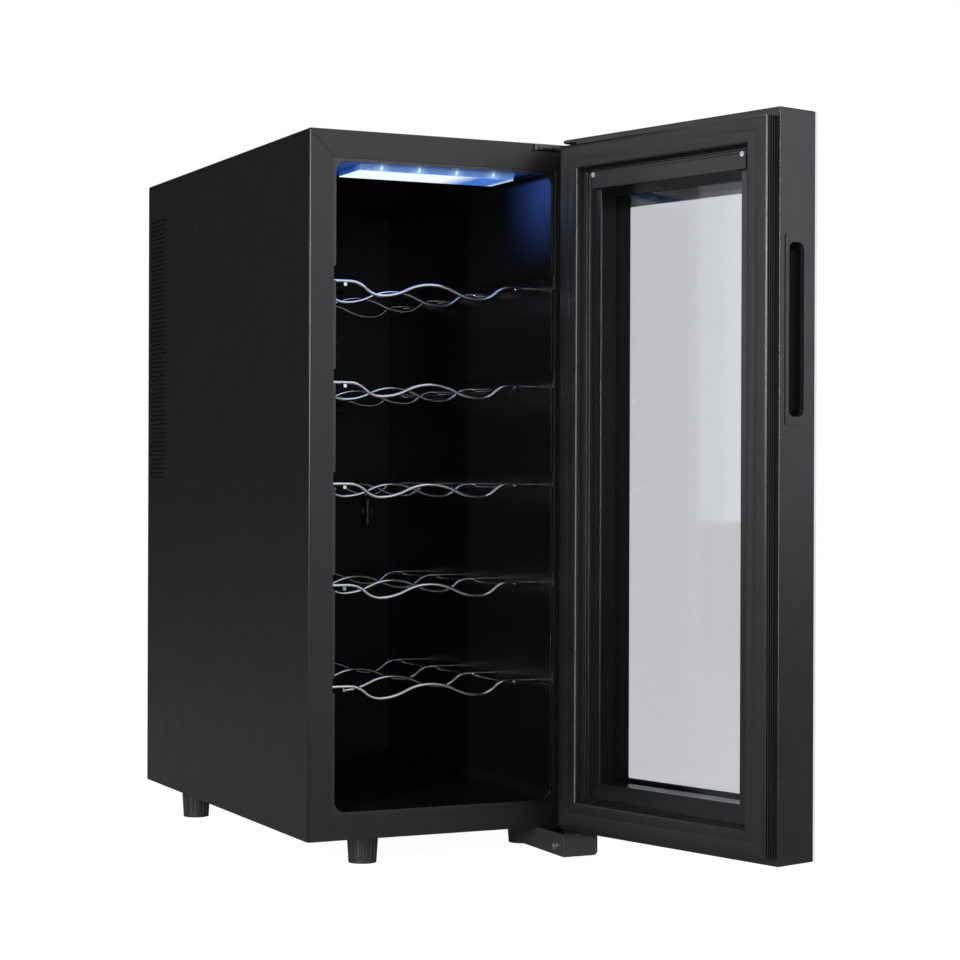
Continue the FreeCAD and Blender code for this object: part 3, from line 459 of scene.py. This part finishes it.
def swept_ring(profile):
    """A mitred rectangular ring in the closed door. The profile is a closed loop of (inset, depth) in mm."""
    bm = bmesh.new()
    corners = []
    for inset, depth in profile:
        i = inset * MM
        y = DOOR_INNER_Y - depth * MM
        x0, x1 = DOOR_LEFT + i, DOOR_RIGHT - i
        z0, z1 = DOOR_LOW.z + i, DOOR_HIGH.z - max(i, SEAL_TOP * MM)
        corners.append([bm.verts.new(p) for p in ((x0, y, z0), (x1, y, z0), (x1, y, z1), (x0, y, z1))])
    for a, b in zip(corners, corners[1:] + corners[:1]):
        for k in range(4):
            n = (k + 1) % 4
            bm.faces.new((a[k], a[n], b[n], b[k]))
    return bm


GASKET_PROUD = 10.0  # how far the relaxed seal stands off the door
GASKET_OUTER, GASKET_INNER = 5.2, 28.5


def gasket_profile():
    """Bellows seal: three folds in its outer flank, the flat magnet strip, a crease and an inner fin."""
    out, top, fin = GASKET_OUTER, -GASKET_PROUD, GASKET_INNER
    points = [(out + 1.0, 0.0)]
    for fold in (0.6, 3.2, 5.8):
        points += [(out + 0.3, -fold), (out, -fold - 0.5), (out + 0.3, -fold - 1.0)]
        points += [(out + 2.4, -fold - 1.5), (out + 2.4, -fold - 2.0)]
    points += [(out + 0.5, top + 1.6), (out + 1.4, top + 0.7), (out + 3.2, top + 0.15), (out + 5.6, top)]
    points += [(17.0, top), (17.8, top + 0.25), (18.4, top + 0.25), (19.2, top + 0.05)]
    points += [(fin - 2.4, top), (fin - 1.2, top + 0.3), (fin - 0.4, top + 1.0), (fin, top + 2.2)]
    points += [(fin - 0.2, top + 4.4), (fin - 1.6, top + 6.6), (fin - 1.0, -1.2), (fin - 1.0, 0.0)]
    return points


gasket = piece(
    "door_seal",
    swept_ring(gasket_profile()),
    "door",
    MATERIALS["gasket_rubber"],
    OPENED,
    smooth=35,
)
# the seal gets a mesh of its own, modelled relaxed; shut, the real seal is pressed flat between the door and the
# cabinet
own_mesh(gasket)
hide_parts("door_gasket")


def rounded_loop(x0, x1, z0, z1, radius, steps=8):
    """Points of a rectangle with rounded corners, counter-clockwise seen from -Y."""
    points = []
    for cx, cz, start in (
        (x1 - radius, z0 + radius, -90),
        (x1 - radius, z1 - radius, 0),
        (x0 + radius, z1 - radius, 90),
        (x0 + radius, z0 + radius, 180),
    ):
        for i in range(steps + 1):
            a = math.radians(start + 90 * i / steps)
            points.append((cx + radius * math.cos(a), cz + radius * math.sin(a)))
    return points


WINDOW_SIDE, WINDOW_LOW, WINDOW_HIGH = 42.2 * MM, 47.0 * MM, 59.5 * MM  # from the door's edges


def enamel_border():
    """The black border inside the outer pane, a thin ring with a rounded window."""
    bm = bmesh.new()
    edge = 0.3 * MM
    outer = rounded_loop(
        GLASS_LOW.x + edge, GLASS_HIGH.x - edge, GLASS_LOW.z + edge, GLASS_HIGH.z - edge, 1.0 * MM
    )
    inner = rounded_loop(
        DOOR_LEFT + WINDOW_SIDE,
        DOOR_RIGHT - WINDOW_SIDE,
        DOOR_LOW.z + WINDOW_LOW,
        DOOR_HIGH.z - WINDOW_HIGH,
        1.5 * MM,
    )
    layers = []
    for y in (GLASS_HIGH.y - 0.25 * MM, GLASS_HIGH.y - 0.45 * MM):
        layers.append([[bm.verts.new((x, y, z)) for x, z in loop] for loop in (outer, inner)])
    count = len(outer)
    for i in range(count):
        n = (i + 1) % count
        (ao, ai), (bo, bi) = layers
        bm.faces.new((ao[i], ao[n], ai[n], ai[i]))
        bm.faces.new((bo[i], bi[i], bi[n], bo[n]))
        bm.faces.new((ao[i], bo[i], bo[n], ao[n]))
        bm.faces.new((ai[i], ai[n], bi[n], bi[i]))
    return bm


piece("glass_enamel_border", enamel_border(), "door", ENAMEL, OPENED)


# the touch panel's symbols, on the outer face above the window
SEGMENTS = {"1": "bc", "2": "abged"}
SYMBOL_THICK = 0.12 * MM
SYMBOL_DROP = 23.0 * MM  # from the door's top to the symbols' middle


def bar(bm, x, z, width, height, y):
    """A small lozenge-ended bar."""
    tip = min(width, height) / 2
    w, h = width / 2, height / 2
    if width > height:
        shape = [(-w, 0), (tip - w, -tip), (w - tip, -tip), (w, 0), (w - tip, tip), (tip - w, tip)]
    else:
        shape = [(0, -h), (tip, tip - h), (tip, h - tip), (0, h), (-tip, h - tip), (-tip, tip - h)]
    prism(bm, [(x + a, z + b) for a, b in shape], y)


def prism(bm, outline, y):
    """The outline raised from the plane at y towards the front."""
    front = [bm.verts.new((x, y - SYMBOL_THICK, z)) for x, z in outline]
    back = [bm.verts.new((x, y, z)) for x, z in outline]
    bm.faces.new(front)
    bm.faces.new(list(reversed(back)))
    for i in range(len(outline)):
        n = (i + 1) % len(outline)
        bm.faces.new((front[i], back[i], back[n], front[n]))


def digit(bm, figure, x, z, height, y):
    """One figure of the display, made of bars."""
    half, stroke = height / 2, height * 0.11
    wide = height * 0.5
    places = {
        "a": (0, half, "h"),
        "g": (0, 0, "h"),
        "d": (0, -half, "h"),
        "b": (wide / 2, half / 2, "v"),
        "c": (wide / 2, -half / 2, "v"),
        "e": (-wide / 2, -half / 2, "v"),
    }
    for segment in SEGMENTS[figure]:
        dx, dz, way = places[segment]
        size = (wide * 0.9, stroke) if way == "h" else (stroke, half * 0.9)
        bar(bm, x + dx, z + dz, *size, y)


def touch_symbols():
    """A two-figure display between two arrows, with a power and a light symbol outside them."""
    bm = bmesh.new()
    y = GLASS_LOW.y
    z = DOOR_HIGH.z - SYMBOL_DROP
    digit(bm, "1", -4.6 * MM, z, 11.0 * MM, y)
    digit(bm, "2", 3.6 * MM, z, 11.0 * MM, y)
    for side, way in ((-38.0, 1), (38.0, -1)):
        x = side * MM
        for shift in (-1, 1):
            arm = [(0.0, 2.4), (shift * 4.2, -1.8), (shift * 3.4, -2.6), (0.0, 0.8)]
            arm = [(x + a * MM, z + way * b * MM) for a, b in arm]
            prism(bm, arm if shift * way < 0 else list(reversed(arm)), y)
    ring_out, ring_in, steps = 3.4 * MM, 2.7 * MM, 24
    for side in (-60.0, 60.0):
        for i in range(steps):
            if side < 0 and i in (5, 6, 7):  # the gap at the top of the power symbol
                continue
            a, b = (math.radians(360 * (i + k) / steps) for k in (0, 1))
            corners = ((ring_in, a), (ring_out, a), (ring_out, b), (ring_in, b))
            prism(bm, [(side * MM + r * math.cos(t), z + r * math.sin(t)) for r, t in corners], y)
    bar(bm, -60.0 * MM, z + 2.9 * MM, 0.8 * MM, 3.6 * MM, y)
    return bm


piece("touch_symbols", touch_symbols(), "door", display_material(), OPENED)


# ---------------------------------------------------------------- stage
FLOOR_HALF = 14.0


def stage_floor():
    """A plain white sheet of paper, far wider than the view."""
    bm = bmesh.new()
    bmesh.ops.create_grid(bm, x_segments=1, y_segments=1, size=FLOOR_HALF)
    mesh = bpy.data.meshes.new("floor")
    bm.to_mesh(mesh)
    bm.free()
    obj = bpy.data.objects.new("floor", mesh)
    SCENE.collection.objects.link(obj)
    g = Graph("floor_paper")
    paper = g.noise(60.0, 3.0)
    tone = g.mix(paper, (0.13, 0.13, 0.13), (0.15, 0.15, 0.15))
    seen = g.add("ShaderNodeLightPath").outputs["Is Camera Ray"]
    dull = g.add("ShaderNodeBsdfDiffuse", Color=(0.36, 0.36, 0.37, 1.0))
    plain = g.add("ShaderNodeBsdfDiffuse", Color=tone)
    lift = g.add("ShaderNodeEmission", Color=(1.0, 1.0, 1.0, 1.0), Strength=0.97)
    bright = g.add("ShaderNodeAddShader", i0=plain.outputs[0], i1=lift.outputs[0])
    g.finish(g.add("ShaderNodeMixShader", i0=seen, i1=dull.outputs[0], i2=bright.outputs[0]))
    mesh.materials.append(g.material)


stage_floor()


# azimuth of the middle in degrees, its height, half angle and softness in degrees, and strength
WALLS = (
    (-48.0, 0.25, 34.0, 12.0, 1.7),
    (160.0, 0.15, 19.0, 5.0, 1.3),
    (65.0, 0.12, 13.0, 6.0, 1.0),
)
ROOM_GLOW = 0.045


def studio_world():
    """White to the camera. To everything else, a dim room with the bright walls listed above."""
    world = bpy.data.worlds.new("studio")
    SCENE.world = world
    world.use_nodes = True
    tree = world.node_tree
    tree.nodes.clear()

    def math_node(operation, a, b):
        node = tree.nodes.new("ShaderNodeMath")
        node.operation = operation
        for socket, value in zip(node.inputs, (a, b)):
            if isinstance(value, bpy.types.NodeSocket):
                tree.links.new(value, socket)
            else:
                socket.default_value = value
        return node.outputs[0]

    direction = tree.nodes.new("ShaderNodeTexCoord").outputs["Generated"]

    def wall(azimuth, height, half_angle, soft, strength):
        """A soft-edged bright patch of the room, seen in that direction."""
        a = math.radians(azimuth)
        axis = Vector((math.cos(a), math.sin(a), height)).normalized()
        dot = tree.nodes.new("ShaderNodeVectorMath")
        dot.operation = "DOT_PRODUCT"
        tree.links.new(direction, dot.inputs[0])
        dot.inputs[1].default_value = axis
        patch = tree.nodes.new("ShaderNodeMapRange")
        patch.interpolation_type = "SMOOTHSTEP"
        tree.links.new(dot.outputs["Value"], patch.inputs["Value"])
        patch.inputs["From Min"].default_value = math.cos(math.radians(half_angle + soft))
        patch.inputs["From Max"].default_value = math.cos(math.radians(half_angle - soft))
        patch.inputs["To Min"].default_value = 0.0
        patch.inputs["To Max"].default_value = strength
        return patch.outputs[0]

    glow = ROOM_GLOW
    for patch in WALLS:
        glow = math_node("ADD", wall(*patch), glow)
    out = tree.nodes.new("ShaderNodeOutputWorld")
    path = tree.nodes.new("ShaderNodeLightPath")
    room = tree.nodes.new("ShaderNodeBackground")
    room.inputs["Color"].default_value = (0.91, 0.95, 1.0, 1.0)
    tree.links.new(glow, room.inputs["Strength"])
    white = tree.nodes.new("ShaderNodeBackground")
    white.inputs["Color"].default_value = (1.0, 1.0, 1.0, 1.0)
    white.inputs["Strength"].default_value = 1.0
    mix = tree.nodes.new("ShaderNodeMixShader")
    tree.links.new(path.outputs["Is Camera Ray"], mix.inputs[0])
    tree.links.new(room.outputs[0], mix.inputs[1])
    tree.links.new(white.outputs[0], mix.inputs[2])
    tree.links.new(mix.outputs[0], out.inputs[0])


studio_world()


def area_light(name, place, target, size, power, colour=(1.0, 1.0, 1.0)):
    light = bpy.data.lights.new(name, "AREA")
    light.shape = "RECTANGLE"
    light.size, light.size_y = size
    light.energy = power
    light.color = colour
    obj = bpy.data.objects.new(name, light)
    SCENE.collection.objects.link(obj)
    obj.location = place
    obj.rotation_mode = "QUATERNION"
    obj.rotation_quaternion = (Vector(target) - Vector(place)).to_track_quat("-Z", "Y")
    return obj


area_light("key", (-1.0, -2.8, 0.75), (0.0, -0.3, 0.33), (1.1, 1.3), 20.0)
area_light("top", (0.2, -0.1, 2.6), (0.0, -0.1, 0.3), (2.2, 2.2), 20.0)

LENS_LOW, LENS_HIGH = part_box("lamp_lens")
LAMP_X, LAMP_Y = (LENS_LOW.x + LENS_HIGH.x) / 2, (LENS_LOW.y + LENS_HIGH.y) / 2
LAMP_MIDDLE = (LAMP_X, LAMP_Y, LENS_LOW.z - 1.5 * MM)
area_light("cabinet_lamp", LAMP_MIDDLE, (0.0, LAMP_Y + 0.08, 0.3), (0.14, 0.03), 0.1, (0.12, 0.3, 1.0))
area_light("edge_strip", (-1.54, -1.45, 0.5), (0.1, -0.3, 0.35), (0.14, 1.7), 60.0)

# ---------------------------------------------------------------- camera
YAW, PITCH, ROLL = (math.radians(angle) for angle in (25.259, -0.073, 0.194))
CAMERA_PLACE = (-0.84355, -2.0886, 0.3393)
forward = Vector((math.sin(YAW) * math.cos(PITCH), math.cos(YAW) * math.cos(PITCH), math.sin(PITCH)))
right = Vector((math.cos(YAW), -math.sin(YAW), 0.0))
up = right.cross(forward)
rolled_right = right * math.cos(ROLL) + up * math.sin(ROLL)
rolled_up = rolled_right.cross(forward)
camera_data = bpy.data.cameras.new("camera")
camera_data.sensor_width = 36.0
camera_data.lens = 87.1
camera_data.clip_start = 0.05
camera_data.clip_end = 60.0
camera = bpy.data.objects.new("camera", camera_data)
SCENE.collection.objects.link(camera)
turn = Matrix((rolled_right, rolled_up, -forward)).transposed().to_4x4()
camera.matrix_world = Matrix.Translation(CAMERA_PLACE) @ turn
SCENE.camera = camera
SCENE.view_settings.view_transform = "Standard"
